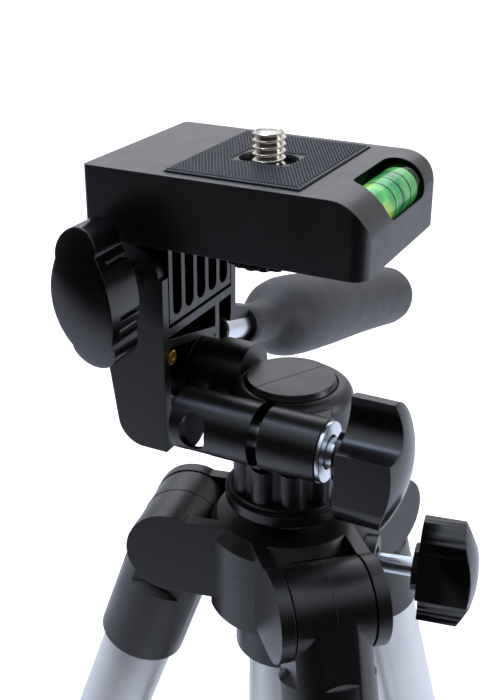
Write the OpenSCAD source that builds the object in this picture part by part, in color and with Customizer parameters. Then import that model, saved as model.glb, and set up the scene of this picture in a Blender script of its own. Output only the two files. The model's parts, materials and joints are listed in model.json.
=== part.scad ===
// Compact tripod with a three-way pan and tilt head.
// Origin: foot of the camera screw, on the top face of the platform.
// +X runs along the platform towards its level, -Y is where the lens points, +Z is up.

/* [Platform] */
// Platform reach from the screw towards the flip hinge
plate_left = 29.5; // [28:0.5:31]
// Platform reach from the screw towards the level
plate_right = 27; // [26:0.5:29]
// Platform reach from the screw towards the lens side
plate_front = 18.6; // [18:0.2:19]
// Platform reach from the screw towards the handle side
plate_back = 20.4; // [20:0.2:21]
// Platform height
plate_h = 14; // [13.6:0.2:14.2]
// Radius of the rounded top edge over the level
end_round = 7; // [6:0.5:7.5]
// Platform wall thickness
plate_wall = 2.4; // [2:0.2:3]
// Rubber pad length
pad_l = 27.5; // [24:0.5:30]
// Rubber pad thickness above its recess floor
pad_h = 1.4; // [1.2:0.1:1.6]

/* [Camera screw] */
// Major radius of the quarter inch thread
screw_r = 3.175; // [3.17:0.005:3.18]
// Thread length above the platform
screw_h = 5.5; // [4.5:0.5:6]
// Thread pitch
screw_pitch = 1.27; // [1.25:0.01:1.28]
// Thumbwheel radius
wheel_r = 8.2; // [7.5:0.1:8.6]

/* [Head] */
// Flip hinge offset to the left of the screw
flip_x = -22.8; // [-23:0.1:-22.4]
// Flip hinge height
flip_z = -22.3; // [-22.5:0.1:-22]
// Tilt axis offset behind the screw
tilt_y = 1; // [0.5:0.5:1.5]
// Tilt axis height
tilt_z = -47; // [-47.5:0.5:-46.5]
// Inner side face of the tilt arm
arm_x = -15.5; // [-15.8:0.1:-15.4]
// Pan axis, X
pan_x = 6.3; // [5.8:0.1:6.8]
// Pan axis, Y
pan_y = -1.5; // [-2:0.5:-1]
// Radius of the pan housing
pan_r = 12.8; // [12.4:0.1:13]
// Clamp bolt height
bolt_z = -50.5; // [-51:0.5:-50]
// Clamp bolt distance in front of the screw
bolt_y = -14.5; // [-14.8:0.1:-14.3]

/* [Knobs and handle] */
// Wing knob length
knob_l = 25; // [24:1:27]
// Wing knob width
knob_w = 14; // [13:0.5:15]
// Wing knob depth
knob_d = 12; // [10:0.5:12.5]
// Slope of the handle below the horizontal
handle_slope = 15.8; // [12:0.2:18]
// Length of the grip
grip_l = 96; // [80:1:110]
// Radius of the grip
grip_r = 10.2; // [9:0.2:11]

/* [Legs] */
// Direction of the first leg, from +X towards +Y
leg_az = 192; // [190:1:194]
// Distance of each leg hinge from the column axis
hinge_r = 23.5; // [23.4:0.1:23.8]
// Height of the leg hinges
hinge_z = -83; // [-84:0.5:-82.5]
// Spread of each leg from the vertical
spread = 19; // [19:0.5:19]
// Outer radius of the upper leg tube
tube_a = 8.2; // [8.1:0.05:8.25]
// Outer radius of the middle leg tube
tube_b = 6.8; // [6.7:0.05:6.8]
// Outer radius of the lower leg tube
tube_c = 5.4; // [5.2:0.05:5.4]
// Leg tube wall
tube_wall = 0.7; // [0.6:0.05:0.8]
// Distance along the leg from its hinge to the end of the upper tube
tube_end = 214; // [210:1:220]

/* [Hidden] */

$fn = 64;
e = 0.01;                    // small overlap that keeps cuts clean
fit = 0.05;                  // radial clearance of a running fit
gap = 0.4;                   // clearance between faces that pass each other

black = "#1b1a1c";
rubber = "#26262a";
steel = "#b9b7b2";
alloy = "#c3c8d0";
vial_green = "#9ad23a";

plate_len = plate_left + plate_right;
plate_wid = plate_front + plate_back;
plate_cx = (plate_right - plate_left) / 2;
plate_cy = (plate_back - plate_front) / 2;
shank_r = 2.9;               // plain shank of the camera screw
thread_z = 0.4;              // the thread starts level with the top of the pad
pad_sink = 1;                // depth of the recess the pad is glued into

// Level, lying in the rounded end
vial_x = plate_right - 5.1;
vial_y = 2.3;
vial_z = -5.3;
vial_r = 4.1;
vial_l = 21.8;
pocket_r = 5.4;
pocket_y = 3.1;
pocket_l = 25.4;

// Tilt arm
arm_front = -14.5;
arm_back = 16.5;
arm_wall = 2.2;
arm_bottom = -60;
arm_outer = -29.5;
fork_r = 6.5;                // rounding of the fork tops round the flip axis
disc_r = 7.4;
barrel_r = 7.4;
barrel_end = -3.6;

// Pan housing and clamp
house_top = -44.3;
house_bottom = -58.6;
cap_r = 9.4;
cap_top = -43.2;
boss_r = 6.3;
boss_left = -11.2;
boss_right = 19.6;
split_x = 6.8;
split_w = 2.2;
m6_r = 3;
m5_r = 2.5;

// Neck
collar_top = -59.4;
collar_bottom = -68.6;
spindle_r = 7.5;
column_r = 8;
column_wall = 1;
column_bottom = -285;

// Shoulder
shoulder_top = -74.6;
shoulder_core_r = 17;
cheek_r = 9.3;
knuckle_r = 9.1;
knuckle_half = 8;
cheek_in = 8.35;
cheek_out = 11.2;
pin_r = 2;
guide_r = 11;
guide_bottom = -108.6;
lock_az = 10;                // the lock bolt stands opposite the first leg
lock_z = -84;
lock_start = 9.3;
knob_start = 29;

// Legs, measured along the leg from its hinge
sleeve_end = 32.2;
tube_start = 13;
lock_l = 26;
lock_r = 10.2;
upper_lock = 204;
lower_lock = 237;
middle_end = 248;
lower_end = 284;
foot_r = 8.5;
foot_at = 286;
strut_at = 110;
strut_in = 11.4;             // strut pivot, inwards of the leg axis
strut_l = 50;
strut_t = 3.6;
strut_half = 2.8;
ear_gap = 0.4;
ear_t = 2;
strut_pin = 1.5;
hub_pin_r = 12.5;            // distance of the hub pivots from the column axis

// The strut closes a triangle between its leg pivot and the hub
leg_pivot_r = hinge_r + strut_at * sin(spread) - strut_in * cos(spread);
leg_pivot_z = hinge_z - strut_at * cos(spread) - strut_in * sin(spread);
strut_rise = sqrt(strut_l * strut_l - (leg_pivot_r - hub_pin_r) * (leg_pivot_r - hub_pin_r));
strut_lean = atan2(leg_pivot_r - hub_pin_r, strut_rise);
hub_z = leg_pivot_z + strut_rise;

// ---------- shared shapes ----------

// Rounded rectangle, centred
module rounded(w, h, r) {
    square([w - 2 * r, h], center = true);
    square([w, h - 2 * r], center = true);
    for (sx = [-1, 1], sy = [-1, 1])
        translate([sx * (w / 2 - r), sy * (h / 2 - r)]) circle(r);
}

// Slot shape of overall length l along x
module slot2d(l, w) {
    square([l - w, w], center = true);
    for (s = [-1, 1]) translate([s * (l - w) / 2, 0]) circle(w / 2);
}

// Cylinder along +X that starts at x
module bar_x(x, y, z, r, l) {
    translate([x, y, z]) rotate([0, 90, 0]) cylinder(r = r, h = l);
}

// Cylinder along +Y that starts at y
module bar_y(x, y, z, r, l) {
    translate([x, y, z]) rotate([-90, 0, 0]) cylinder(r = r, h = l);
}

// Threaded rod along +Z: one groove for each turn
module threaded(r, pitch, turns) {
    depth = pitch * 0.5;
    difference() {
        cylinder(r = r, h = turns * pitch);
        for (i = [0:turns - 1])
            translate([0, 0, (i + 0.5) * pitch])
                rotate_extrude()
                    polygon([[r - depth, -0.08], [r + 0.2, -0.38], [r + 0.2, 0.38], [r - depth, 0.08]]);
    }
}

// Wing knob along +Z: each flank is scooped so that a finger pushes on the crest
module wing_knob(bore_r) {
    scoop = knob_w / 2 + 0.4;
    crest = 4;
    lobe_r = 6;
    dome_r = 24;
    difference() {
        intersection() {
            linear_extrude(knob_d)
                difference() {
                    rounded(knob_w, knob_l, lobe_r);
                    for (turn = [0, 180])
                        rotate(turn) {
                            translate([knob_w / 2, crest + scoop]) circle(scoop);
                            translate([-0.4, crest + scoop]) square([knob_w, knob_l / 2]);
                        }
                }
            translate([0, 0, knob_d - dome_r]) sphere(dome_r);
        }
        translate([0, 0, -e]) cylinder(r = bore_r, h = 8);
    }
    difference() {
        translate([0, 0, -1.4]) cylinder(r = 5.2, h = 1.4 + e);
        translate([0, 0, -1.5]) cylinder(r = bore_r, h = 2);
    }
}

// ---------- platform ----------

module plate_outline() {
    corner = 3;
    nip = 0.8;
    translate([-plate_left, -plate_front]) {
        translate([0, nip]) square([plate_len - corner, plate_wid - 2 * nip]);
        translate([nip, 0]) square([plate_len - corner - nip, plate_wid]);
        translate([corner, corner]) square([plate_len - corner, plate_wid - 2 * corner]);
        for (y = [nip, plate_wid - nip]) translate([nip, y]) circle(nip);
        for (y = [corner, plate_wid - corner]) translate([plate_len - corner, y]) circle(corner);
    }
}

// Side view of the platform, x across and z up
module plate_side() {
    translate([-plate_left, -plate_h]) square([plate_len - end_round, plate_h]);
    translate([-plate_left, -plate_h]) square([plate_len, plate_h - end_round]);
    translate([plate_right - end_round, -end_round]) circle(end_round);
}

module camera_plate() {
    tongue_left = -26.6;
    web_left = -24;
    tongue_front = arm_front + arm_wall + gap;
    tongue_back = arm_back - arm_wall - gap;
    tongue_bottom = -32.4;
    rib_t = 1.4;
    rib_pitch = (tongue_back - tongue_front - rib_t) / 5;
    color(black)
    difference() {
        union() {
            // shell
            difference() {
                intersection() {
                    translate([0, 0, -plate_h]) linear_extrude(plate_h) plate_outline();
                    translate([0, plate_back + 1, 0]) rotate([90, 0, 0])
                        linear_extrude(plate_wid + 2) plate_side();
                }
                translate([-plate_left + plate_wall, -plate_front + plate_wall, -plate_h - 1])
                    cube([30.5 - plate_wall, plate_wid - 2 * plate_wall, plate_h - 2]);
                translate([3, -plate_front + plate_wall, -plate_h - 1])
                    cube([plate_right - plate_wall - 3, plate_wid - 2 * plate_wall, 3.2]);
            }
            // boss for the camera screw
            translate([0, 0, -12]) cylinder(r = 6, h = 10);
            // tongue of the flip hinge, ribbed on its inner side
            difference() {
                union() {
                    translate([tongue_left, tongue_front, flip_z - 4])
                        cube([arm_x - tongue_left, tongue_back - tongue_front, 15]);
                    translate([web_left, tongue_front, tongue_bottom])
                        cube([arm_x - web_left, tongue_back - tongue_front, 10]);
                }
                for (i = [0:4])
                    translate([arm_x - 3, tongue_front + rib_t + i * rib_pitch, 0]) {
                        translate([0, 0, tongue_bottom + 3]) cube([4, rib_pitch - rib_t, 15]);
                        translate([0, (rib_pitch - rib_t) / 2, tongue_bottom + 3]) rotate([0, 90, 0])
                            cylinder(d = rib_pitch - rib_t, h = 4);
                    }
            }
        }
        // flip bolt bore
        bar_y(flip_x, tongue_front - 1, flip_z, m5_r + fit, 40);
        // camera screw bore
        translate([0, 0, -20]) cylinder(r = screw_r + fit, h = 21);
        // thumbwheel recess
        translate([0, 0, -plate_h - 1]) cylinder(r = wheel_r + gap, h = 3.2);
        // pad recess
        translate([-pad_l / 2, -plate_front + 2.3, -pad_sink]) cube([pad_l, plate_wid - 4.6, 2]);
        // level pocket, a round-ended trough let into the rounded end
        bar_y(vial_x, pocket_y - pocket_l / 2 + pocket_r, -4.6, pocket_r, pocket_l - 2 * pocket_r);
        for (s = [-1, 1])
            translate([vial_x, pocket_y + s * (pocket_l / 2 - pocket_r), -4.6]) sphere(pocket_r);
        bar_y(vial_x, vial_y - vial_l / 2 - fit, vial_z, vial_r + fit, vial_l + 2 * fit);
    }
}

module plate_pad() {
    color(rubber)
    difference() {
        translate([0, plate_cy, -pad_sink])
            linear_extrude(pad_h) square([pad_l - 0.6, plate_wid - 5.2], center = true);
        translate([0, 0, -2]) linear_extrude(4) slot2d(11.6, 9.2);
    }
}

module camera_screw() {
    color(steel) {
        translate([0, 0, -16]) cylinder(r = shank_r, h = 16 + thread_z + e);
        translate([0, 0, thread_z]) threaded(screw_r, screw_pitch, floor(screw_h / screw_pitch));
        translate([0, 0, thread_z + floor(screw_h / screw_pitch) * screw_pitch - e])
            cylinder(r1 = screw_r - 0.6, r2 = screw_r - 0.7, h = 0.1);
    }
}

module screw_thumbwheel() {
    wheel_h = 5.6;
    color(black)
    difference() {
        translate([0, 0, -19.6]) cylinder(r = wheel_r, h = wheel_h);
        translate([0, 0, -16]) cylinder(r = shank_r, h = 5);
        for (i = [0:17])
            rotate(i * 20) translate([wheel_r + 0.35, 0, -20]) cylinder(r = 0.9, h = 8);
    }
}

module level_vial() {
    color(vial_green)
        bar_y(vial_x, vial_y - vial_l / 2, vial_z, vial_r, vial_l);
}

// ---------- flip hinge ----------

module flip_bolt() {
    color(steel) {
        bar_y(flip_x, -28, flip_z, m5_r, 28 + arm_back);
        translate([flip_x, arm_back, flip_z]) rotate([-90, 0, 0]) cylinder(r = 4.4, h = 3, $fn = 6);
    }
}

module flip_knob() {
    side_r = 19.2;
    side_x = side_r - 6.4;
    tip_r = 4.5;
    tip_y = 9.3;
    depth = 10.3;
    dome_r = 30;
    color(black)
    translate([flip_x, -21.6, flip_z]) rotate([90, 0, 0]) rotate(9) {
        difference() {
            intersection() {
                linear_extrude(depth) {
                    intersection() {
                        translate([-side_x, 0]) circle(side_r);
                        translate([side_x, 0]) circle(side_r);
                        square([20, 2 * tip_y], center = true);
                    }
                    for (y = [-tip_y, tip_y]) translate([0, y]) circle(tip_r);
                }
                translate([0, 0, depth - dome_r]) sphere(dome_r);
            }
            translate([0, 0, -e]) cylinder(r = m5_r + fit, h = 6.5);
            // finger steps on the flank
            for (y = [-7, -4.4, 6]) translate([4.7, y, -1]) cube([4, 1, 7.6]);
        }
    }
}

// ---------- tilt arm and handle ----------

// Front view of the arm wall, x across and z up
module arm_outline() {
    polygon([
        [arm_x, arm_bottom], [-21, arm_bottom], [-27, -54.5], [arm_outer, -37],
        [arm_outer, -34], [-27.2, -31.8], [-27.2, flip_z], [arm_x, flip_z],
    ]);
    translate([-21, arm_bottom + 6]) circle(6);
}

module arm_fork() {
    intersection() {
        translate([flip_x, flip_z]) circle(fork_r);
        translate([flip_x - 10, flip_z - 10]) square([arm_x - flip_x + 10, 20]);
    }
}

module tilt_arm() {
    brace_z = -40;
    color(black)
    difference() {
        union() {
            difference() {
                translate([0, arm_back, 0]) rotate([90, 0, 0])
                    linear_extrude(arm_back - arm_front) { arm_outline(); arm_fork(); }
                // open channel on the inner side
                translate([-26.4, arm_front + arm_wall, arm_bottom + arm_wall])
                    cube([20, arm_back - arm_front - 2 * arm_wall, 26.6]);
                // swing room of the platform tongue
                translate([-35, arm_front + arm_wall, -33.3])
                    cube([30, arm_back - arm_front - 2 * arm_wall, 25]);
            }
            // outer wall, shelf and braces
            translate([-27.6, arm_front + e, -33.4 - 1.6])
                cube([arm_x + 27.6, arm_back - arm_front - 2 * e, 1.8]);
            translate([-27, tilt_y + 6, tilt_z]) cube([arm_x + 27, 1.8, 13]);
            translate([arm_x - 9, 0, 0]) rotate([90, 0, 90])
                linear_extrude(9)
                    polygon([
                        [arm_front + 1, -35.2], [tilt_y + 6.5, brace_z],
                        [tilt_y + 6.5, brace_z - 1.8], [arm_front + 1, -37],
                    ]);
            // friction disc of the tilt joint
            bar_x(-27, tilt_y, tilt_z, disc_r, arm_x + 27);
            // socket of the handle
            translate([-17.5, 17, -44.5]) rotate([-90 - handle_slope, 0, 0])
                translate([0, 0, -4]) cylinder(r1 = 6, r2 = 5.2, h = 9);
        }
        bar_x(-31, tilt_y, tilt_z, m6_r + fit, 20);
        bar_x(-31, tilt_y, tilt_z, 6.2, 5.4);
        bar_y(flip_x, arm_front - 1, flip_z, m5_r + fit, 40);
        // nut pocket of the flip bolt
        translate([flip_x, arm_back - 1, flip_z]) rotate([-90, 0, 0]) cylinder(r = 3.6, h = e);
        translate([-17.5, 17, -44.5]) rotate([-90 - handle_slope, 0, 0])
            translate([0, 0, -8]) cylinder(r = m6_r + fit, h = 14);
        // keeps the arm inside its side face
        translate([arm_x, -30, -80]) cube([20, 70, 90]);
    }
}

module tilt_pivot() {
    color(steel) {
        bar_x(-28.6, tilt_y, tilt_z, m6_r, 22);
        bar_x(-30.4, tilt_y, tilt_z, 5, 3.2);
    }
}

module at_handle() {
    translate([-17.5, 17, -44.5]) rotate([-90 - handle_slope, 0, 0]) children();
}

module handle_rod() {
    color(steel) at_handle() {
        translate([0, 0, -6]) cylinder(r = m6_r, h = 60);
    }
}

module handle_grip() {
    nose = 15;
    color(black) at_handle() {
        difference() {
            translate([0, 0, 6])
                rotate_extrude()
                    polygon([
                        [0, 0], [4.4, 0], [4.6, nose - 4], [6.6, nose], [grip_r - 0.8, nose + 6],
                        [grip_r, nose + 16], [grip_r - 1, nose + 60], [grip_r - 1.2, nose + grip_l - 9],
                        [grip_r - 1.8, nose + grip_l - 5], [grip_r - 4, nose + grip_l - 1.6],
                        [grip_r - 7, nose + grip_l], [0, nose + grip_l],
                    ]);
            translate([0, 0, 0]) cylinder(r = m6_r, h = 54);
        }
    }
}

// ---------- pan housing ----------

module pan_housing() {
    edge = 3;
    color(black)
    difference() {
        union() {
            translate([pan_x, pan_y, 0])
                rotate_extrude() {
                    translate([0, house_bottom]) square([pan_r, house_top - edge - house_bottom]);
                    translate([0, house_bottom]) square([pan_r - edge, house_top - house_bottom]);
                    translate([pan_r - edge, house_top - edge]) circle(edge);
                }
            // barrel that meets the tilt arm
            bar_x(arm_x + gap, tilt_y, tilt_z, barrel_r - 0.8, 5);
            bar_x(-11, tilt_y, tilt_z, barrel_r, barrel_end + 11);
            // clamp ears
            bar_x(boss_left, bolt_y, bolt_z, boss_r, boss_right - boss_left);
            translate([-1.2, bolt_y, bolt_z - boss_r])
                cube([boss_right - 0.8, 12, boss_r + 5]);
        }
        // spindle bore and the slot that lets the clamp close
        translate([pan_x, pan_y, house_bottom - 1]) cylinder(r = spindle_r + fit, h = 12.6);
        translate([split_x - split_w / 2, -30, house_bottom - 8])
            cube([split_w, 30 + pan_y, house_top - house_bottom + 12]);
        // recess of the cap
        translate([pan_x, pan_y, house_top - 1]) cylinder(r = cap_r + 0.3, h = 2);
        // clamp bolt bore
        bar_x(-3, bolt_y, bolt_z, m6_r + fit, 30);
        // hollow of the left ear, open to the back and below, with the nut seat beside it
        translate([boss_left + 2.3, bolt_y - 4.2, bolt_z - 9]) cube([5.9, 12, 12.6]);
        translate([-3.1, bolt_y, bolt_z]) rotate([0, 90, 0]) cylinder(r = 5.3, h = 5, $fn = 6);
        translate([-6.1, bolt_y, bolt_z + 0.3]) rotate([90, 0, 0]) linear_extrude(10)
            rotate(90) slot2d(7.5, 5.4);
        // tilt pivot seat
        bar_x(arm_x - 1, tilt_y, tilt_z, m6_r, 10);
    }
}

module pan_cap() {
    color(black)
    translate([pan_x, pan_y, house_top - 1]) {
        cylinder(r = cap_r, h = 1);
        translate([0, 0, 1 - e]) cylinder(r1 = cap_r, r2 = cap_r - 0.5, h = cap_top - house_top + e);
    }
}

module clamp_nut() {
    color(steel)
    difference() {
        translate([-3.1, bolt_y, bolt_z]) rotate([0, 90, 0]) cylinder(r = 5.25, h = 4.9, $fn = 6);
        bar_x(-4, bolt_y, bolt_z, m6_r + fit, 7);
    }
}

module pan_clamp_bolt() {
    color(steel) bar_x(-3.6, bolt_y, bolt_z, m6_r, 32.5);
}

module pan_washer() {
    color(steel)
    difference() {
        bar_x(boss_right, bolt_y, bolt_z, 6, 1);
        bar_x(boss_right - 1, bolt_y, bolt_z, m6_r + 0.4, 3);
    }
}

module pan_knob() {
    color(black)
    translate([24.1, bolt_y, bolt_z]) rotate([90, 0, 90]) mirror([1, 0, 0]) wing_knob(m6_r);
}

// ---------- neck and column ----------

module on_column() {
    translate([pan_x, pan_y, 0]) children();
}

module pan_spindle() {
    color(steel) on_column() {
        translate([0, 0, -64]) cylinder(r = spindle_r, h = 64 - 46.6 - 0.4);
    }
}

module column_collar() {
    lobes = 10;
    color(black) on_column()
    difference() {
        union() {
            translate([0, 0, collar_bottom]) cylinder(r = 10.8, h = collar_top - collar_bottom);
            for (i = [0:lobes - 1])
                rotate((i + 0.3) * 360 / lobes) translate([9, 0, collar_bottom])
                    cylinder(r = 3, h = collar_top - collar_bottom - 0.6);
            translate([0, 0, collar_bottom]) cylinder(r = 12.4, h = 1.1);
            translate([0, 0, collar_bottom - 2.2]) cylinder(r = 13.3, h = 2.2 + e);
        }
        translate([0, 0, -64]) cylinder(r = spindle_r, h = 6);
        translate([0, 0, collar_bottom - 3]) cylinder(r = column_r, h = 6);
    }
}

module centre_column() {
    color(alloy) on_column()
    difference() {
        translate([0, 0, column_bottom]) cylinder(r = column_r, h = collar_bottom + 3 - column_bottom);
        translate([0, 0, column_bottom - 1])
            cylinder(r = column_r - column_wall, h = collar_bottom + 5 - column_bottom);
    }
}

module column_end_cap() {
    color(black) on_column() {
        translate([0, 0, column_bottom - 2.4]) cylinder(r = column_r - 0.1, h = 2.4);
        translate([0, 0, column_bottom - e]) cylinder(r = column_r - column_wall, h = 8);
        difference() {
            union() {
                translate([-2, -4.2, column_bottom - 6.5]) cube([4, 8.4, 4.5]);
                translate([-2, 0, column_bottom - 6.5]) rotate([0, 90, 0]) cylinder(r = 4.2, h = 4);
            }
            translate([-3, 0, column_bottom - 6.5]) rotate([0, 90, 0]) cylinder(r = 2.2, h = 6);
        }
    }
}

// ---------- shoulder ----------

module each_leg() {
    for (i = [0:2]) on_column() rotate(leg_az + 120 * i) children();
}

// Both halves of the shoulder before they are cut apart at the hinge line
module shoulder_body() {
    difference() {
        union() {
            on_column() {
                translate([0, 0, shoulder_top - 3]) cylinder(r1 = shoulder_core_r, r2 = 15, h = 3);
                translate([0, 0, -96]) cylinder(r = shoulder_core_r, h = 96 + shoulder_top - 3 + e);
                translate([0, 0, guide_bottom]) cylinder(r = guide_r, h = 18);
            }
            each_leg() {
                // cheeks
                for (s = [-1, 1])
                    translate([hinge_r, s * (cheek_in + cheek_out) / 2, hinge_z])
                        rotate([90, 0, 0])
                            cylinder(r = cheek_r, h = cheek_out - cheek_in, center = true);
                for (s = [-1, 1])
                    translate([8, s * (cheek_in + cheek_out) / 2 - (cheek_out - cheek_in) / 2,
                               hinge_z - cheek_r])
                        cube([hinge_r - 8, cheek_out - cheek_in, 2 * cheek_r - 0.9]);
            }
            // boss of the lock bolt
            on_column() rotate(lock_az) translate([10, 0, lock_z]) rotate([0, 90, 0])
                cylinder(r = 5.4, h = 9.6);
        }
        // bore of the column
        on_column() translate([0, 0, -200]) cylinder(r = column_r + 0.1, h = 200);
        // room of the knuckles
        each_leg() {
            translate([hinge_r, 0, hinge_z]) rotate([90, 0, 0])
                cylinder(r = knuckle_r + gap, h = 2 * cheek_in, center = true);
            translate([hinge_r - knuckle_r - gap, -cheek_in, -120])
                cube([40, 2 * cheek_in, 120 + hinge_z]);
            translate([hinge_r, -cheek_in, hinge_z - e])
                cube([20, 2 * cheek_in, 20]);
        }
        each_leg() translate([hinge_r, 0, hinge_z]) rotate([90, 0, 0])
            cylinder(r = pin_r, h = 2 * cheek_out - 1.8, center = true);
        on_column() rotate(lock_az) translate([lock_start - 2, 0, lock_z]) rotate([0, 90, 0])
            cylinder(r = m6_r + fit, h = 16);
    }
}

module shoulder_upper() {
    color(black)
    intersection() {
        shoulder_body();
        translate([-80, -80, hinge_z]) cube([180, 160, 40]);
    }
}

module shoulder_lower() {
    color(black)
    intersection() {
        shoulder_body();
        translate([-80, -80, hinge_z - 60]) cube([180, 160, 60]);
    }
}

module leg_hinge_pins() {
    color(steel)
    each_leg() translate([hinge_r, 0, hinge_z]) rotate([90, 0, 0])
        cylinder(r = pin_r, h = 2 * cheek_out - 2, center = true);
}

module at_lock() {
    on_column() rotate(lock_az) translate([0, 0, lock_z]) rotate([0, 90, 0]) children();
}

module column_lock_bolt() {
    color(steel) at_lock() translate([0, 0, lock_start - 0.9])
        cylinder(r = m6_r, h = knob_start - lock_start + 8.9);
}

module column_knob() {
    color(black) at_lock() translate([0, 0, knob_start])
        rotate(90 - 8) mirror([1, 0, 0]) wing_knob(m6_r);
}

// ---------- spreader ----------

module spreader_hub() {
    color(black) {
        on_column()
        difference() {
            translate([0, 0, hub_z - 12]) cylinder(r = 10, h = 7);
            translate([0, 0, hub_z - 13]) cylinder(r = column_r + 0.3, h = 9);
        }
        each_leg()
            for (s = [-1, 1])
                translate([0, s * (strut_half + ear_gap + ear_t / 2), 0]) {
                    translate([8.9, -ear_t / 2, hub_z - 12]) cube([5.9, ear_t, 12]);
                    translate([hub_pin_r, 0, hub_z]) rotate([90, 0, 0])
                        cylinder(r = 2.3, h = ear_t, center = true);
                }
    }
}

// ---------- legs ----------
// Each leg is drawn along -Z below its hinge, then leaned outwards and turned to its place.

module at_leg(i) {
    on_column() rotate(leg_az + 120 * (i - 1))
        translate([hinge_r, 0, hinge_z]) rotate([0, -spread, 0]) children();
}

module leg_sleeve(i) {
    stem = 7.4;
    color(black) at_leg(i)
    difference() {
        union() {
            rotate([90, 0, 0]) cylinder(r = knuckle_r, h = 2 * knuckle_half, center = true);
            intersection() {
                translate([-knuckle_r, -knuckle_half, -14]) cube([2 * knuckle_r, 2 * knuckle_half, 14]);
                translate([0, 0, -14]) cylinder(r = 9.8, h = 14);
            }
            translate([0, 0, -sleeve_end]) cylinder(r = 9.8, h = sleeve_end - 13.4);
            translate([0, 0, -13.4 - e]) cylinder(r1 = 9.8, r2 = stem, h = 2.4);
        }
        rotate([90, 0, 0]) cylinder(r = pin_r + fit, h = 40, center = true);
        translate([0, 0, -sleeve_end - 1]) cylinder(r = tube_a, h = sleeve_end - tube_start + 1);
    }
}

module tube(r, top, bottom) {
    difference() {
        translate([0, 0, -bottom]) cylinder(r = r, h = bottom - top);
        translate([0, 0, -bottom - 1]) cylinder(r = r - tube_wall, h = bottom - top + 2);
    }
}

module leg_upper_tube(i) {
    color(alloy) at_leg(i) tube(tube_a, tube_start, tube_end);
}

module leg_middle_tube(i) {
    color(alloy) at_leg(i) tube(tube_b, 40, middle_end);
}

module leg_lower_tube(i) {
    color(alloy) at_leg(i) tube(tube_c, 60, lower_end);
}

module leg_strut_collar(i) {
    color(black) at_leg(i)
    difference() {
        union() {
            difference() {
                translate([0, 0, -strut_at - 6]) cylinder(r = tube_a + 1.4, h = 12);
                translate([-strut_in, 0, -strut_at]) rotate([90, 0, 0])
                    cylinder(r = 2.5, h = 2 * (strut_half + ear_gap), center = true);
            }
            for (s = [-1, 1])
                translate([0, s * (strut_half + ear_gap + ear_t / 2), -strut_at]) {
                    translate([-strut_in, -ear_t / 2, -2.4]) cube([5.4, ear_t, 4.8]);
                    translate([-strut_in, 0, 0]) rotate([90, 0, 0])
                        cylinder(r = 2.4, h = ear_t, center = true);
                }
            translate([-strut_in, 0, -strut_at]) rotate([90, 0, 0])
                cylinder(r = strut_pin, h = 2 * strut_half + 2, center = true);
        }
        translate([0, 0, -strut_at - 7]) cylinder(r = tube_a, h = 14);
    }
}

module leg_strut(i) {
    color(black) on_column() rotate(leg_az + 120 * (i - 1))
        translate([leg_pivot_r, 0, leg_pivot_z]) rotate([0, -strut_lean, 0])
            difference() {
                union() {
                    translate([-strut_t / 2, -strut_half, 0]) cube([strut_t, 2 * strut_half, strut_l]);
                    for (z = [0, strut_l]) translate([0, 0, z]) rotate([90, 0, 0])
                        cylinder(r = 2.1, h = 2 * strut_half, center = true);
                }
                rotate([90, 0, 0]) cylinder(r = strut_pin + fit, h = 20, center = true);
            }
}

// Lock housing: grips the thick tube above and guides the thin tube below
module lock_housing(from, thick, thin, grip) {
    lever_x = lock_r + 2.4;
    pivot_at = from + lock_l - 4;
    difference() {
        union() {
            translate([0, 0, -from - lock_l]) cylinder(r = lock_r, h = lock_l);
            translate([0, 0, -from - 2.5]) cylinder(r = lock_r + 0.8, h = 2.5);
            for (s = [-1, 1])
                translate([0, s * 6.6 - 0.9, -pivot_at]) {
                    translate([6, 0, -3]) cube([lever_x - 6, 1.8, 6]);
                    translate([lever_x, 0, 0]) rotate([-90, 0, 0]) cylinder(r = 2.3, h = 1.8);
                }
        }
        translate([0, 0, -from - grip]) cylinder(r = thick, h = grip + 1);
        translate([0, 0, -from - lock_l - 1]) cylinder(r = thin + 0.1, h = lock_l + 2);
        translate([lever_x, 0, -pivot_at]) rotate([90, 0, 0])
            cylinder(r = 1.2 + fit, h = 20, center = true);
    }
}

// Flip lever with its own stub axle
module lock_lever(from) {
    lever_x = lock_r + 2.4;
    pivot_at = from + lock_l - 4;
    color(black) {
        translate([lever_x, 0, -pivot_at]) {
            rotate([90, 0, 0]) cylinder(r = 1.2, h = 14.4, center = true);
            rotate([90, 0, 0]) cylinder(r = 1.9, h = 10.6, center = true);
            translate([-1.3, -5.3, 0]) cube([3.2, 10.6, 15]);
            translate([0.1, -5.3, 14]) cube([1.8, 10.6, 4.6]);
        }
    }
}

module leg_upper_lock(i) {
    color(black) at_leg(i) lock_housing(upper_lock, tube_a, tube_b, tube_end - upper_lock);
}

module leg_upper_lever(i) {
    at_leg(i) lock_lever(upper_lock);
}

module leg_lower_lock(i) {
    color(black) at_leg(i) lock_housing(lower_lock, tube_b, tube_c, middle_end - lower_lock);
}

module leg_lower_lever(i) {
    at_leg(i) lock_lever(lower_lock);
}

module leg_foot(i) {
    color(rubber) at_leg(i)
    difference() {
        union() {
            translate([0, 0, -foot_at]) sphere(foot_r);
            translate([0, 0, -foot_at]) cylinder(r = foot_r, h = 10);
            translate([0, 0, -foot_at + 10 - e]) cylinder(r1 = foot_r, r2 = 6.6, h = 4);
        }
        translate([0, 0, -lower_end]) cylinder(r = tube_c, h = 30);
    }
}

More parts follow.
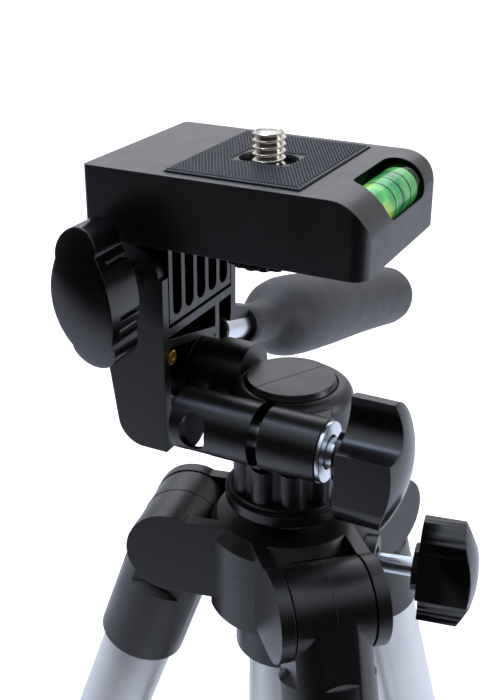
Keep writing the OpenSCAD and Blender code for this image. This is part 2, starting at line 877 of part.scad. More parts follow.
camera_plate();
plate_pad();
camera_screw();
screw_thumbwheel();
level_vial();
flip_bolt();
flip_knob();
tilt_arm();
tilt_pivot();
handle_rod();
handle_grip();
pan_housing();
pan_cap();
clamp_nut();
pan_clamp_bolt();
pan_washer();
pan_knob();
pan_spindle();
column_collar();
centre_column();
column_end_cap();
shoulder_upper();
shoulder_lower();
leg_hinge_pins();
column_lock_bolt();
column_knob();
spreader_hub();
for (i = [1:3]) {
    leg_sleeve(i);
    leg_upper_tube(i);
    leg_strut_collar(i);
    leg_strut(i);
    leg_upper_lock(i);
    leg_upper_lever(i);
    leg_middle_tube(i);
    leg_lower_lock(i);
    leg_lower_lever(i);
    leg_lower_tube(i);
    leg_foot(i);
}
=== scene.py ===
# %% [markdown]
# # A compact tripod with a pan, tilt and flip head
# The solids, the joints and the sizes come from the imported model. This lesson gives them their
# looks: eased moulded edges, a rubber pad with real pimples, a real helical thread, a level with
# liquid and bubble in it, drawn aluminium tubes, and a finish for every surface.
# Everything is in metres, in one frame: the foot of the camera screw is the origin.

# %% Load the frame
import json
import math

import bmesh
import bpy
from mathutils import Euler, Matrix, Vector


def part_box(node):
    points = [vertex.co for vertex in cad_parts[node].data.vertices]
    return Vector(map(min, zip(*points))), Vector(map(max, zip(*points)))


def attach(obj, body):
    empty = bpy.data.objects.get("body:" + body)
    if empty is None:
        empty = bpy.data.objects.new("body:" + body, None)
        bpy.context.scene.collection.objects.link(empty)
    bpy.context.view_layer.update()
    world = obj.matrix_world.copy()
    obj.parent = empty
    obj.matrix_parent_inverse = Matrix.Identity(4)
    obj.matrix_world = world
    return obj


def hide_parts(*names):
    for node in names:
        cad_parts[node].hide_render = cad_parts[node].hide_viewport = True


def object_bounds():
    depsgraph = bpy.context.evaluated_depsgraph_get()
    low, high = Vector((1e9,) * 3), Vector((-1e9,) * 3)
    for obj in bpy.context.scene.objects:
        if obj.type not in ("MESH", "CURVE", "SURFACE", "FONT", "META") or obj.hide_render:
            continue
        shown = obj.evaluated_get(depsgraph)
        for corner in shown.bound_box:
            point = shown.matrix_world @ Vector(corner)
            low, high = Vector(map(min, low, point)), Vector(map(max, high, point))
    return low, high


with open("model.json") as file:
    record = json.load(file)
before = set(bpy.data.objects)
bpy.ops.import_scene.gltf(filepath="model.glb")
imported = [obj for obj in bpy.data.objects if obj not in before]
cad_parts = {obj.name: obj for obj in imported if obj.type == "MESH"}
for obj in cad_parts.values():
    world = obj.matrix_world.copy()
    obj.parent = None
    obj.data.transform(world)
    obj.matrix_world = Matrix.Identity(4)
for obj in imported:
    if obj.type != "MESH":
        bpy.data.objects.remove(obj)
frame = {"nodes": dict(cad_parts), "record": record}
cad_box = [list(corner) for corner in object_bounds()]
MM = 0.001

# %% [markdown]
# ## Camera
# A close view from the front right, a little above the platform, with a long normal lens. The
# lens is given for the long side of the frame, and a small roll levels the picture.

# %% Camera
CAMERA_AT = (0.08765, -0.18486, 0.05458)
LENS_MM, SENSOR_MM = 56.9, 36.0
LOOK_DOWN, LOOK_AROUND, ROLL = math.radians(24.688), math.radians(26.187), math.radians(0.419)

camera_data = bpy.data.cameras.new("studio_camera")
camera_data.sensor_width = SENSOR_MM
camera_data.lens = LENS_MM
camera_data.clip_start = 0.01
camera = bpy.data.objects.new("studio_camera", camera_data)
bpy.context.scene.collection.objects.link(camera)
camera.location = CAMERA_AT
turn = Euler((math.radians(90) - LOOK_DOWN, 0, LOOK_AROUND)).to_matrix()
roll = Matrix.Rotation(ROLL, 3, "Z")
camera.rotation_euler = (turn @ roll).to_euler()
bpy.context.scene.camera = camera
print("camera at", tuple(round(v, 3) for v in camera.location))

# %% [markdown]
# ## Colours and nodes
# Colours are written as sRGB hex values, as a paint chart gives them, and one function turns
# them to the linear values that the renderer works in. One more function adds a node, with its
# settings, its links and, for a colour ramp, its stops. Noise scales are in cells per metre.


# %% Helpers for materials
def linear(hex_value):
    """An sRGB hex colour as linear RGBA."""
    out = []
    for i in (0, 2, 4):
        c = int(hex_value[i : i + 2], 16) / 255
        out.append(c / 12.92 if c <= 0.04045 else ((c + 0.055) / 1.055) ** 2.4)
    return (*out, 1.0)


def add(tree, kind, links=None, stops=(), **settings):
    """Adds a node: settings by name, links as socket: source, stops as (position, hex colour)."""
    made = tree.nodes.new(kind)
    for key, value in settings.items():
        if hasattr(made, key):
            setattr(made, key, value)
        else:
            made.inputs[key.replace("_", " ")].default_value = value
    for socket, source in (links or {}).items():
        tree.links.new(source, made.inputs[socket])
    for i, (at, colour) in enumerate(stops):
        bar = made.color_ramp.elements
        stop = bar[i] if i < 2 else bar.new(at)
        stop.position = at
        stop.color = linear(colour)
    return made


def new_material(name):
    """An empty node material with its shader and its object coordinates."""
    made = bpy.data.materials.new(name)
    made.use_nodes = True
    tree = made.node_tree
    shader = tree.nodes["Principled BSDF"]
    place = add(tree, "ShaderNodeTexCoord")
    return made, tree, shader, place.outputs["Object"]


# %% [markdown]
# ## Moulded black ABS
# The head, the shoulder and the clamps are injection-moulded ABS. The mould is spark-eroded, so
# the skin has a fine grain of about a third of a millimetre, and handling polishes it unevenly.
# The grain is a small bump, the polish is a slow change of roughness, and the carbon black of
# the plastic is a warm near-black. Knobs come from a smoother mould, so they are glossier.


# %% Black plastics
def moulded(name, dark, light, rough, grain_mm, grain_depth_mm):
    made, tree, shader, place = new_material(name)
    cloud = add(tree, "ShaderNodeTexNoise", {"Vector": place}, Scale=55.0, Detail=4.0)
    smear = add(tree, "ShaderNodeTexNoise", {"Vector": place}, Scale=180.0, Detail=5.0)
    grain_scale = 1 / (grain_mm * MM)
    grain = add(tree, "ShaderNodeTexNoise", {"Vector": place}, Scale=grain_scale, Detail=2.0)
    eased_edge = add(tree, "ShaderNodeBevel", samples=4, Radius=0.22 * MM)
    bump = add(
        tree,
        "ShaderNodeBump",
        {"Height": grain.outputs["Fac"], "Normal": eased_edge.outputs["Normal"]},
        Strength=0.55,
        Distance=grain_depth_mm * MM,
    )
    colour = add(
        tree, "ShaderNodeValToRGB", {"Fac": cloud.outputs["Fac"]}, stops=[(0.3, dark), (0.75, light)]
    )
    gloss = add(
        tree,
        "ShaderNodeMapRange",
        {"Value": smear.outputs["Fac"]},
        To_Min=rough - 0.07,
        To_Max=rough + 0.09,
    )
    tree.links.new(colour.outputs["Color"], shader.inputs["Base Color"])
    tree.links.new(gloss.outputs["Result"], shader.inputs["Roughness"])
    tree.links.new(bump.outputs["Normal"], shader.inputs["Normal"])
    shader.inputs["IOR"].default_value = 1.53
    return made


SHELL = moulded("moulded_abs_fine_grain", "0a0808", "100e0e", 0.33, 0.32, 0.02)
KNOB = moulded("moulded_abs_smooth", "070607", "0c0b0c", 0.22, 0.5, 0.01)
GRIP = moulded("soft_touch_grip", "17171a", "212124", 0.5, 0.4, 0.04)
RUBBER = moulded("pimpled_rubber", "2c2d31", "3c3e43", 0.38, 0.25, 0.02)

# %% [markdown]
# ## Metals
# The camera screw is nickel plated and slightly warm, the lock bolts are bright zinc, and the
# legs are drawn aluminium with a satin anodised skin. Drawing leaves faint lines along a tube.
# The tubes carry their own UV map, so the lines follow each leg whichever way it leans.


# %% Plated steel and anodised aluminium
def plated(name, colour, rough):
    made, tree, shader, place = new_material(name)
    wear = add(tree, "ShaderNodeTexNoise", {"Vector": place}, Scale=420.0, Detail=6.0)
    fine = add(tree, "ShaderNodeTexNoise", {"Vector": place}, Scale=2500.0, Detail=2.0)
    bump = add(
        tree, "ShaderNodeBump", {"Height": fine.outputs["Fac"]}, Strength=0.25, Distance=0.01 * MM
    )
    gloss = add(
        tree, "ShaderNodeMapRange", {"Value": wear.outputs["Fac"]}, To_Min=rough - 0.06, To_Max=rough + 0.12
    )
    tree.links.new(gloss.outputs["Result"], shader.inputs["Roughness"])
    tree.links.new(bump.outputs["Normal"], shader.inputs["Normal"])
    shader.inputs["Base Color"].default_value = linear(colour)
    shader.inputs["Metallic"].default_value = 1.0
    return made


NICKEL = plated("nickel_plated_steel", "d8cfc0", 0.2)
ZINC = plated("bright_zinc_steel", "d3d8de", 0.22)
BRASS = plated("brass_insert", "c9a24a", 0.3)


def drawn_tube():
    made, tree, shader, place = new_material("anodised_drawn_aluminium")
    own_map = add(tree, "ShaderNodeTexCoord").outputs["UV"]
    stretched = add(tree, "ShaderNodeMapping", {"Vector": own_map}, Scale=(150.0, 2.0, 1.0))
    lines = add(
        tree, "ShaderNodeTexNoise", {"Vector": stretched.outputs["Vector"]}, Scale=1.0, Detail=4.0
    )
    stains = add(tree, "ShaderNodeTexNoise", {"Vector": place}, Scale=40.0, Detail=3.0)
    bump = add(
        tree, "ShaderNodeBump", {"Height": lines.outputs["Fac"]}, Strength=0.3, Distance=0.02 * MM
    )
    colour = add(
        tree,
        "ShaderNodeValToRGB",
        {"Fac": stains.outputs["Fac"]},
        stops=[(0.3, "d4d5d6"), (0.7, "e2e2e1")],
    )
    gloss = add(
        tree, "ShaderNodeMapRange", {"Value": lines.outputs["Fac"]}, To_Min=0.3, To_Max=0.48
    )
    tree.links.new(colour.outputs["Color"], shader.inputs["Base Color"])
    tree.links.new(gloss.outputs["Result"], shader.inputs["Roughness"])
    tree.links.new(bump.outputs["Normal"], shader.inputs["Normal"])
    shader.inputs["Metallic"].default_value = 0.7
    return made


TUBE = drawn_tube()

# %% [markdown]
# ## The level's materials
# A level vial is a clear acrylic tube with a green dyed spirit in it. Its colour carries painted light:
# yellow at the near end and a lighter green again at the far end, round a deep green in the middle, and the
# liquid gives off a little light of its own colour, a painted glow standing in for the light that comes
# through it.


# %% Acrylic, spirit and ink
VIAL_NEAR_MM, VIAL_FAR_MM = -8.5, 13.0


def clear_acrylic():
    made, tree, shader, place = new_material("clear_acrylic")
    haze = add(tree, "ShaderNodeTexNoise", {"Vector": place}, Scale=300.0, Detail=3.0)
    gloss = add(tree, "ShaderNodeMapRange", {"Value": haze.outputs["Fac"]}, To_Min=0.02, To_Max=0.07)
    tree.links.new(gloss.outputs["Result"], shader.inputs["Roughness"])
    shader.inputs["Base Color"].default_value = linear("f4fff0")
    shader.inputs["Transmission Weight"].default_value = 1.0
    shader.inputs["IOR"].default_value = 1.2
    return made


def dyed_spirit_painted_light():
    made, tree, shader, place = new_material("dyed_spirit_painted_light")
    depth = add(tree, "ShaderNodeTexNoise", {"Vector": place}, Scale=110.0, Detail=2.0)
    along = add(tree, "ShaderNodeSeparateXYZ", {"Vector": place})
    where = add(
        tree,
        "ShaderNodeMapRange",
        {"Value": along.outputs["Y"]},
        From_Min=VIAL_NEAR_MM * MM,
        From_Max=VIAL_FAR_MM * MM,
    )
    cloudy = depth.outputs["Fac"]
    wobble = add(
        tree, "ShaderNodeMath", {0: where.outputs["Result"], 1: cloudy, 2: cloudy}, operation="MULTIPLY_ADD"
    )
    # Painted light: this ramp along the vial paints the near end yellow and the far end a lighter green,
    # for light coming through the liquid. The noise named depth only makes that edge uneven.
    dye_and_painted_light = add(
        tree,
        "ShaderNodeValToRGB",
        {"Fac": wobble.outputs["Value"]},
        stops=[(0.3, "e4f05c"), (0.6, "4fb562"), (0.8, "1c7f55"), (1.0, "5fb262")],
    )
    tree.links.new(dye_and_painted_light.outputs["Color"], shader.inputs["Base Color"])
    # Painted glow: the spirit's colour, painted light included, is also given off as light, standing in for
    # light that comes through it.
    tree.links.new(dye_and_painted_light.outputs["Color"], shader.inputs["Emission Color"])
    shader.inputs["Roughness"].default_value = 0.12
    shader.inputs["Emission Strength"].default_value = 0.35
    return made


ACRYLIC = clear_acrylic()
SPIRIT = dyed_spirit_painted_light()
INK = moulded("black_ink_line", "0a120a", "101a10", 0.4, 0.5, 0.005)
# Painted light: the bubble is an opaque pale yellow, slightly metallic surface, standing in for the light
# that comes through it.
BUBBLE = plated("bubble_surface", "dff08c", 0.12)
BUBBLE.node_tree.nodes["Principled BSDF"].inputs["Metallic"].default_value = 0.15

# %% [markdown]
# ## Eased edges on the moulded parts
# No moulded edge is sharp. Each moulded solid is copied, its loose triangles are joined and its
# flat faces made whole again, and a bevel modifier rounds every edge sharper than thirty
# degrees. The copy stands for its solid, which the physics keeps.


# %% Helpers for shapes
def only(piece):
    """Selects one object and makes it the active one."""
    if bpy.context.object and bpy.context.object.mode != "OBJECT":
        bpy.ops.object.mode_set(mode="OBJECT")
    bpy.ops.object.select_all(action="DESELECT")
    piece.select_set(True)
    bpy.context.view_layer.objects.active = piece
    return piece


def finish_piece(piece, name, body, material, smooth=35):
    """Names a piece, moves its place into its mesh, and gives it a body and a finish."""
    only(piece)
    piece.name = name
    bpy.ops.object.transform_apply(location=True, rotation=True, scale=True)
    bpy.ops.object.shade_smooth_by_angle(angle=math.radians(smooth))
    piece.data.materials.clear()
    piece.data.materials.append(material)
    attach(piece, body)
    return piece


def use_modifier(piece, kind, **settings):
    """Adds a modifier, sets it and applies it."""
    only(piece)
    made = piece.modifiers.new(kind.lower(), kind)
    for key, value in settings.items():
        setattr(made, key, value)
    bpy.ops.object.modifier_apply(modifier=made.name)


BODY_OF = {n: b for b, ns in frame["record"]["behaviour"]["bodies"].items() for n in ns}
SLOT_OF = {s["node"]: s["material_slot"] for s in frame["record"]["subparts"]}
FINISH_OF = {"shell": SHELL, "knob": KNOB, "grip": GRIP, "rubber": RUBBER, "steel": ZINC, "alloy": TUBE}


def ease(node, width_mm, material=None, segments=2, angle=32):
    """A copy of a moulded solid with rounded edges, which stands for it."""
    copy = bpy.data.objects.new("eased_" + node, frame["nodes"][node].data.copy())
    bpy.context.scene.collection.objects.link(copy)
    only(copy)
    bpy.ops.object.mode_set(mode="EDIT")
    bpy.ops.mesh.select_all(action="SELECT")
    bpy.ops.mesh.remove_doubles(threshold=2e-6)
    bpy.ops.mesh.dissolve_limited(angle_limit=math.radians(0.6))
    bpy.ops.object.mode_set(mode="OBJECT")
    use_modifier(
        copy,
        "BEVEL",
        limit_method="ANGLE",
        angle_limit=math.radians(angle),
        width=width_mm * MM,
        segments=segments,
        use_clamp_overlap=True,
    )
    slot = SLOT_OF[node]
    finish_piece(copy, "eased_" + node, BODY_OF[node], material or FINISH_OF[slot])
    use_modifier(copy, "WEIGHTED_NORMAL", mode="FACE_AREA", weight=60, keep_sharp=True)
    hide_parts(node)
    return copy


# %% Ease the head
for node, width in {
    "camera_plate": 0.85, "tilt_arm": 0.45, "pan_housing": 0.35, "pan_cap": 0.3,
    "flip_knob": 0.8, "pan_knob": 0.55, "column_knob": 0.55, "screw_thumbwheel": 0.3,
    "column_collar": 0.35, "shoulder_upper": 0.4, "shoulder_lower": 0.4, "column_end_cap": 0.4,
    "spreader_hub": 0.25, "plate_pad": 0.2,
}.items():
    made = ease(node, width)
    print("eased", node, len(made.data.polygons), "faces")
for node in ("flip_bolt", "tilt_pivot", "clamp_nut", "pan_washer", "pan_clamp_bolt", "pan_spindle"):
    ease(node, 0.2, ZINC)

# %% [markdown]
# ## The column knob
# Both wing knobs have a finger scoop on one flank and a full lobe on the other. The one on the
# column shows its lobe on top, so its copy is mirrored across its own long axis. A mirror turns
# a shape inside out, so its normals are made to point outwards again.

# %% Mirror the column knob
PAN = Vector((6.3, -1.5, 0)) * MM
LOCK_AZ, LOCK_Z, KNOB_TURN = math.radians(10), -84.0, math.radians(82)
lobe = bpy.data.objects["eased_column_knob"]
across = Vector((-math.sin(LOCK_AZ), math.cos(LOCK_AZ), 0)) * math.sin(KNOB_TURN)
across.z = -math.cos(KNOB_TURN)
centre = PAN + Vector((0, 0, LOCK_Z)) * MM
flip_over = Matrix.Scale(-1.0, 4, across)
lobe.data.transform(Matrix.Translation(centre) @ flip_over @ Matrix.Translation(-centre))
only(lobe)
bpy.ops.object.mode_set(mode="EDIT")
bpy.ops.mesh.select_all(action="SELECT")
bpy.ops.mesh.normals_make_consistent(inside=False)
bpy.ops.object.mode_set(mode="OBJECT")
bpy.ops.object.shade_smooth_by_angle(angle=math.radians(35))
print("column knob mirrored across", tuple(round(v, 2) for v in across))

# %% Ease the legs
for n in (1, 2, 3):
    for part, width in {
        "sleeve": 0.5, "strut_collar": 0.3, "strut": 0.3, "upper_lock": 0.4, "upper_lever": 0.35,
        "lower_lock": 0.4, "lower_lever": 0.35, "foot": 0.4,
    }.items():
        ease(f"leg_{n}_{part}", width)

# %% [markdown]
# ## Leg tubes
# A tube is drawn through a die, so it is a clean cylinder with a small rounded lip where it is
# cut. Each one is a new cylinder with its own UV map, so that the drawing lines run along it.
# Its size and place are given here, and it takes the body of the imported tube, which it hides.


# %% Tubes
HINGE_R, HINGE_Z, SPREAD, LEG_AZ = 23.5, -83.0, 19.0, 192.0
TUBE_WALL, COLUMN_WALL = 0.7, 1.0


def leg_frame(n):
    """The matrix from a leg's own frame, along -Z below its hinge, to the row frame."""
    turned = Matrix.Translation(PAN) @ Matrix.Rotation(math.radians(LEG_AZ + 120 * (n - 1)), 4, "Z")
    hinge = Matrix.Translation(Vector((HINGE_R, 0, HINGE_Z)) * MM)
    return turned @ hinge @ Matrix.Rotation(math.radians(-SPREAD), 4, "Y")


def drawn(name, node, place, radius_mm, wall_mm, top_mm, bottom_mm):
    """A tube along Z in a given frame, from top to bottom."""
    length = top_mm - bottom_mm
    bpy.ops.object.select_all(action="DESELECT")
    bpy.ops.mesh.primitive_cylinder_add(
        vertices=96, radius=radius_mm * MM, depth=length * MM, end_fill_type="NOTHING",
        location=(0, 0, (top_mm + bottom_mm) / 2 * MM),
    )
    piece = bpy.context.object
    bpy.ops.object.transform_apply(location=True)
    use_modifier(piece, "SOLIDIFY", thickness=wall_mm * MM, offset=-1.0, use_rim=True)
    use_modifier(piece, "BEVEL", limit_method="ANGLE", angle_limit=math.radians(50),
                 width=0.18 * MM, segments=2)
    piece.matrix_world = place
    finish_piece(piece, name, BODY_OF[node], TUBE)
    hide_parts(node)
    return piece


for n in (1, 2, 3):
    drawn(f"drawn_tube_{n}_a", f"leg_{n}_upper_tube", leg_frame(n), 8.2, TUBE_WALL, -13, -214)
    drawn(f"drawn_tube_{n}_b", f"leg_{n}_middle_tube", leg_frame(n), 6.8, TUBE_WALL, -40, -248)
    drawn(f"drawn_tube_{n}_c", f"leg_{n}_lower_tube", leg_frame(n), 5.4, TUBE_WALL, -60, -284)
drawn("drawn_column", "centre_column", Matrix.Translation(PAN), 8.0, COLUMN_WALL, -65.6, -285)

# %% [markdown]
# ## The camera screw
# A quarter inch thread has twenty turns to the inch, so its pitch is 1.27 mm. A small triangle
# is spun up a helix with the screw modifier, and the core and the chamfered tip are turned on
# their own axis.


# %% Helical thread
WELD = 1e-6


def spun(name, profile_mm, steps=64):
    """A turned piece: a profile of (radius, height) points spun round Z."""
    mesh = bpy.data.meshes.new(name)
    steps_down = [(i, i + 1) for i in range(len(profile_mm) - 1)]
    mesh.from_pydata([(r * MM, 0, z * MM) for r, z in profile_mm], steps_down, [])
    piece = bpy.data.objects.new(name, mesh)
    bpy.context.scene.collection.objects.link(piece)
    use_modifier(piece, "SCREW", steps=steps, render_steps=steps,
                 use_merge_vertices=True, merge_threshold=WELD)
    only(piece)
    bpy.ops.object.mode_set(mode="EDIT")
    bpy.ops.mesh.select_all(action="SELECT")
    bpy.ops.mesh.remove_doubles(threshold=WELD)
    bpy.ops.mesh.normals_make_consistent(inside=False)
    bpy.ops.object.mode_set(mode="OBJECT")
    return piece


PITCH, MAJOR, ROOT = 1.27, 3.175, 2.55
SHANK, SHANK_END, THREAD_END = 2.85, -15.8, 5.5
core = spun("screw_core", [
    (0, SHANK_END), (SHANK, SHANK_END), (SHANK, -1.4), (ROOT, -1.0), (ROOT, THREAD_END - 0.2),
    (ROOT - 0.3, THREAD_END), (0, THREAD_END),
])
ridge_mesh = bpy.data.meshes.new("screw_ridge")
ridge_mesh.from_pydata(
    [((ROOT - 0.05) * MM, 0, -1.3 * MM), (MAJOR * MM, 0, -0.78 * MM),
     (MAJOR * MM, 0, -0.62 * MM), ((ROOT - 0.05) * MM, 0, -0.1 * MM)],
    [(0, 1), (1, 2), (2, 3)], [])
ridge = bpy.data.objects.new("screw_ridge", ridge_mesh)
bpy.context.scene.collection.objects.link(ridge)
use_modifier(ridge, "SCREW", steps=64, render_steps=64, screw_offset=PITCH * MM, iterations=5,
             use_normal_calculate=True)
only(core)
ridge.select_set(True)
bpy.ops.object.join()
screw = finish_piece(core, "camera_screw_thread", "mount_screw", NICKEL, smooth=40)
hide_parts("camera_screw")
print("thread faces", len(screw.data.polygons))

# %% [markdown]
# ## Handle and lock bolt
# The grip is round in every section: a narrow neck, a slight swell and a closed end. It is spun
# from its outline, and so are the steel rod in it and the bright bolt of the column lock.

# %% Grip, rod and bolt
GRIP_LINE = [
    (0, 6), (4.2, 6), (4.6, 6.6), (4.7, 9), (4.7, 17), (5.4, 19.4), (6.8, 21.4), (8.3, 24), (9.4, 27),
    (10.0, 31), (10.2, 37), (10.15, 45), (9.9, 58), (9.5, 70), (9.2, 81), (9.05, 95), (9.0, 108),
    (8.75, 111), (8.2, 112.9), (7.2, 114.6), (5.8, 116), (3.8, 116.8), (1.8, 117), (0, 117),
]
HANDLE_AT, HANDLE_TURN = Vector((-17.5, 17, -44.5)) * MM, math.radians(-105.8)
SOCKET = Matrix.Translation(HANDLE_AT) @ Matrix.Rotation(HANDLE_TURN, 4, "X")
grip = spun("turned_grip", GRIP_LINE, steps=96)
grip.matrix_world = SOCKET
finish_piece(grip, "turned_grip", "handle", GRIP, smooth=50)
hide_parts("handle_grip")
rod = spun("turned_rod", [(0, -6), (2.6, -6), (3, -5.6), (3, 53.6), (2.6, 54), (0, 54)])
rod.matrix_world = SOCKET
finish_piece(rod, "turned_rod", "handle", ZINC)
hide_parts("handle_rod")
LOCK = Matrix.Translation(centre) @ Matrix.Rotation(LOCK_AZ, 4, "Z")
LOCK = LOCK @ Matrix.Rotation(math.radians(90), 4, "Y")
bolt = spun("lock_bolt", [(0, 8.4), (1.9, 8.4), (2.1, 8.7), (2.1, 36.6), (1.9, 37), (0, 37)])
bolt.matrix_world = LOCK
finish_piece(bolt, "turned_lock_bolt", "column_lock", ZINC)
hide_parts("column_lock_bolt")
print("turned", grip.name, rod.name, bolt.name)

# %% [markdown]
# ## The rubber pad
# The camera stands on a rubber pad with rows of small pimples, which bite into its base. One
# pimple is a low six-sided stud. It is copied over a staggered grid and left out round the screw.

# %% Pimples
PAD_X, PAD_LOW, PAD_HIGH = 13.0, -15.4, 17.2
HOLE_X, HOLE_Y = 6.0, 4.8
PITCH_X, PITCH_Y = 0.68, 0.62
stud = bmesh.new()
rows = 0
y = PAD_LOW
while y < PAD_HIGH:
    x = -PAD_X + (PITCH_X / 2 if rows % 2 else 0)
    while x <= PAD_X:
        if abs(x) > HOLE_X or abs(y) > HOLE_Y:
            bmesh.ops.create_cone(
                stud, cap_ends=True, segments=6, radius1=0.32 * MM, radius2=0.2 * MM, depth=0.3 * MM,
                matrix=Matrix.Translation(Vector((x, y, 0.5)) * MM))
        x += PITCH_X
    y += PITCH_Y
    rows += 1
stud_mesh = bpy.data.meshes.new("pad_pimples")
stud.to_mesh(stud_mesh)
stud.free()
pimples = bpy.data.objects.new("pad_pimples", stud_mesh)
bpy.context.scene.collection.objects.link(pimples)
finish_piece(pimples, "pad_pimples", "platform", RUBBER, smooth=20)
print("pimple faces", len(pimples.data.polygons))

# %% [markdown]
# ## The level
# The vial is a clear tube with a liquid core, four printed rings, and a bubble that floats to the
# top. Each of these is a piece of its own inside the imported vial's space.

# %% Vial, liquid, rings and bubble
low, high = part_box("level_vial")
mid = (low + high) / 2
vial_r = (high.z - low.z) / 2
vial_l = high.y - low.y
along_y = Matrix.Translation(mid) @ Matrix.Rotation(math.radians(90), 4, "X")


def vial_part(name, radius, length, round_end, material):
    end, side, cut = length / 2 / MM, radius / MM, round_end / MM
    piece = spun(name, [(0, -end), (side - cut, -end), (side, cut - end), (side, end - cut),
                        (side - cut, end), (0, end)])
    piece.matrix_world = along_y
    return finish_piece(piece, name, "platform", material)


tube = vial_part("vial_tube", vial_r, vial_l, 0.4 * MM, ACRYLIC)
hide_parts("level_vial")
vial_part("vial_liquid", vial_r - 0.45 * MM, vial_l - 1.2 * MM, 1.2 * MM, SPIRIT)
RINGS_AT = (-7.9, -0.6, 3.4, 7.6)
BUBBLE_AT, BUBBLE_UP, BUBBLE_SIZE = -4.4, 1.9, (2.4, 3.4, 1.75)
for i, at in enumerate(RINGS_AT):
    bpy.ops.object.select_all(action="DESELECT")
    bpy.ops.mesh.primitive_torus_add(
        major_radius=vial_r - 0.35 * MM, minor_radius=0.16 * MM, major_segments=64, minor_segments=8,
        location=(mid.x, at * MM, mid.z), rotation=(math.radians(90), 0, 0))
    finish_piece(bpy.context.object, f"vial_ring_{i + 1}", "platform", INK)
bpy.ops.object.select_all(action="DESELECT")
bpy.ops.mesh.primitive_uv_sphere_add(
    segments=32, ring_count=16, radius=1.0, location=(mid.x, BUBBLE_AT * MM, mid.z + BUBBLE_UP * MM),
    scale=[size * MM for size in BUBBLE_SIZE])
finish_piece(bpy.context.object, "vial_bubble", "platform", BUBBLE)

# %% [markdown]
# ## Small things on the head
# A mould leaves a faint line where its halves met: one round each leg's knuckle and one across
# the pan cap. A brass bush shows at the tilt joint.

# %% Mould lines and brass bush
KNUCKLE_R, CAP_LINE, CAP_LINE_TURN = 9.1, 17.6, math.radians(62)
BUSH_Y, BUSH_Z = -11.9, -39.4
for n in (1, 2, 3):
    bpy.ops.object.select_all(action="DESELECT")
    bpy.ops.mesh.primitive_torus_add(major_radius=KNUCKLE_R * MM, minor_radius=0.1 * MM,
                                     major_segments=96, minor_segments=6)
    seam = bpy.context.object
    seam.matrix_world = leg_frame(n) @ Matrix.Rotation(math.radians(90), 4, "X")
    finish_piece(seam, f"knuckle_mould_line_{n}", f"leg_{n}", SHELL)
cap_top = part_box("pan_cap")[1].z
bpy.ops.object.select_all(action="DESELECT")
bpy.ops.mesh.primitive_cube_add(size=1.0, location=(PAN.x, PAN.y, cap_top),
                                rotation=(0, 0, CAP_LINE_TURN),
                                scale=(CAP_LINE * MM, 0.16 * MM, 0.1 * MM))
use_modifier(bpy.context.object, "BEVEL", width=0.04 * MM, segments=1)
finish_piece(bpy.context.object, "pan_cap_mould_line", "pan_head", SHELL)
arm_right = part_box("tilt_arm")[1].x
bush = spun("brass_bush", [(0, 0), (1.3, 0), (1.5, 0.2), (1.5, 0.5), (1.3, 0.7), (0.7, 0.7),
                           (0.6, 0.4), (0, 0.4)])
bush_at = Vector((arm_right - 0.1 * MM, BUSH_Y * MM, BUSH_Z * MM))
bush.matrix_world = Matrix.Translation(bush_at) @ Matrix.Rotation(math.radians(90), 4, "Y")
finish_piece(bush, "brass_bush", "tilt_head", BRASS)

# %% [markdown]
# ## Remaining solids
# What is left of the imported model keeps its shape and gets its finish.

# %% Finish the rest
for name, solid in frame["nodes"].items():
    if not solid.hide_render:
        solid.data.materials.clear()
        solid.data.materials.append(FINISH_OF.get(SLOT_OF[name], SHELL))
        print("kept", name)

# %% [markdown]
# ## Studio
# The object stands on a pale floor in front of a bright white wall, in a room that is dim on the
# camera's side. A black object takes its whole look from this: the faces that look back at the
# dim room are deep black, and the tops and the round edges shine with the bright side. So the
# sky is a gradient by direction, bright behind and dim in front. What is seen straight on stays
# white, and the floor, like a small table, turns dim further out for reflections only.

# %% Floor and sky
BACK_TURN = math.radians(26.2)
BACK = Vector((-math.sin(BACK_TURN), math.cos(BACK_TURN), 0.0))
FLOOR_SIZE, TABLE_DIM_FROM, TABLE_WHITE_FROM = 8.0, -0.75, -0.2
CEILING_GAIN = 1.7


def seen_or_reflected(tree, seen, reflected):
    """One colour for what the eye sees directly and another for reflections."""
    ray = add(tree, "ShaderNodeLightPath")
    mixed = add(
        tree,
        "ShaderNodeMix",
        {6: reflected, 7: seen, 0: ray.outputs["Is Camera Ray"]},
        data_type="RGBA",
    )
    return mixed.outputs[2]


bpy.ops.object.select_all(action="DESELECT")
bpy.ops.mesh.primitive_plane_add(size=FLOOR_SIZE, location=(0, 0, cad_box[0][2]))
floor = bpy.context.object
floor.name = "studio_floor"
paint, tree, shader, place = new_material("pale_floor")
away = add(tree, "ShaderNodeVectorMath", {0: place}, operation="DOT_PRODUCT")
away.inputs[1].default_value = BACK
near = add(
    tree,
    "ShaderNodeMapRange",
    {"Value": away.outputs["Value"]},
    From_Min=TABLE_DIM_FROM,
    From_Max=TABLE_WHITE_FROM,
)
table = add(
    tree,
    "ShaderNodeValToRGB",
    {"Fac": near.outputs["Result"]},
    stops=[(0.0, "2a2422"), (0.5, "6c6868"), (1.0, "f4f4f6")],
).outputs["Color"]
plain = add(tree, "ShaderNodeRGB")
plain.outputs[0].default_value = linear("f0f0f0")
unlit = add(tree, "ShaderNodeRGB")
unlit.outputs[0].default_value = (0.0, 0.0, 0.0, 1.0)
tree.links.new(seen_or_reflected(tree, plain.outputs[0], table), shader.inputs["Base Color"])
tree.links.new(seen_or_reflected(tree, plain.outputs[0], unlit.outputs[0]), shader.inputs["Emission Color"])
shader.inputs["Emission Strength"].default_value = 0.75
shader.inputs["Roughness"].default_value = 0.9
shader.inputs["Specular IOR Level"].default_value = 0.0
floor.data.materials.append(paint)

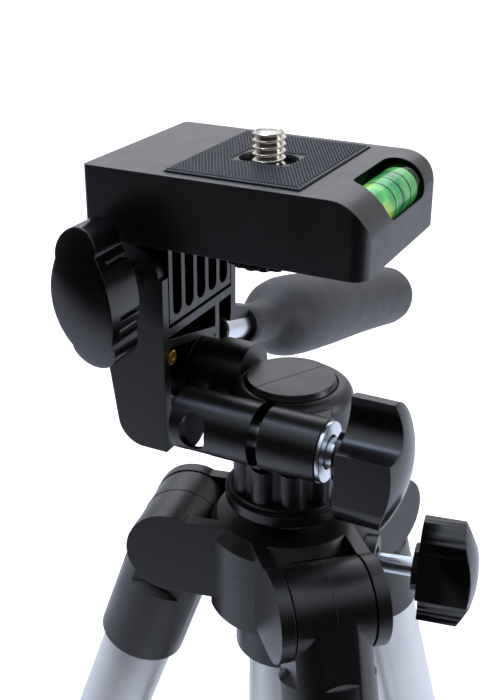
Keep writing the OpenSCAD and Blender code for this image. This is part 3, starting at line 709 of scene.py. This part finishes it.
sky = bpy.data.worlds.new("studio_sky")
bpy.context.scene.world = sky
sky.use_nodes = True
tree = sky.node_tree
toward = add(tree, "ShaderNodeTexCoord")
side = add(tree, "ShaderNodeVectorMath", {0: toward.outputs["Generated"]}, operation="DOT_PRODUCT")
side.inputs[1].default_value = BACK
glow = add(
    tree, "ShaderNodeMapRange", {"Value": side.outputs["Value"]}, From_Min=-0.35, From_Max=0.75
)
room = add(
    tree,
    "ShaderNodeValToRGB",
    {"Fac": glow.outputs["Result"]},
    stops=[(0.0, "2a2320"), (0.45, "8a8a90"), (1.0, "e0e1e6")],
)
height = add(tree, "ShaderNodeSeparateXYZ", {"Vector": toward.outputs["Generated"]})
up = add(tree, "ShaderNodeMapRange", {"Value": height.outputs["Z"]}, From_Min=0.5, From_Max=0.95)
ceiling = add(
    tree,
    "ShaderNodeMix",
    {0: up.outputs["Result"], 6: room.outputs["Color"]},
    data_type="RGBA",
)
ceiling.inputs[7].default_value = [v * CEILING_GAIN for v in linear("dde5f2")[:3]] + [1.0]
white = add(tree, "ShaderNodeRGB")
white.outputs[0].default_value = linear("ffffff")
sky_colour = seen_or_reflected(tree, white.outputs[0], ceiling.outputs[2])
tree.links.new(sky_colour, tree.nodes["Background"].inputs["Color"])
tree.nodes["Background"].inputs["Strength"].default_value = 1.05
print("sky is brightest towards", tuple(round(v, 2) for v in BACK))

# %% [markdown]
# ## Lights
# A wide soft panel behind the object lights the tops, a cooler one above and left makes the
# bluish sheen on round edges, and a narrow one on the right lights the platform's end.


# %% Soft panels
def panel(name, at, target, size, power, colour):
    """A soft rectangular light that looks at a point."""
    data = bpy.data.lights.new(name, "AREA")
    data.shape = "RECTANGLE"
    data.size, data.size_y = size
    data.energy = power
    data.color = linear(colour)[:3]
    light = bpy.data.objects.new(name, data)
    bpy.context.scene.collection.objects.link(light)
    light.location = at
    light.rotation_euler = (Vector(target) - Vector(at)).to_track_quat("-Z", "Y").to_euler()
    light.visible_camera = False
    return light


HEAD = (0.0, 0.0, -0.04)
panel("back_panel", (-0.42, 0.95, 0.5), HEAD, (1.1, 0.4), 1.7, "f4f6ff")
panel("top_window", (-0.35, 0.1, 0.95), HEAD, (0.5, 0.35), 6.0, "c4d6ff")
panel("right_strip", (0.9, 0.3, 0.2), HEAD, (0.2, 0.8), 3.0, "f2f4ff")
bpy.context.scene.view_settings.view_transform = "Standard"
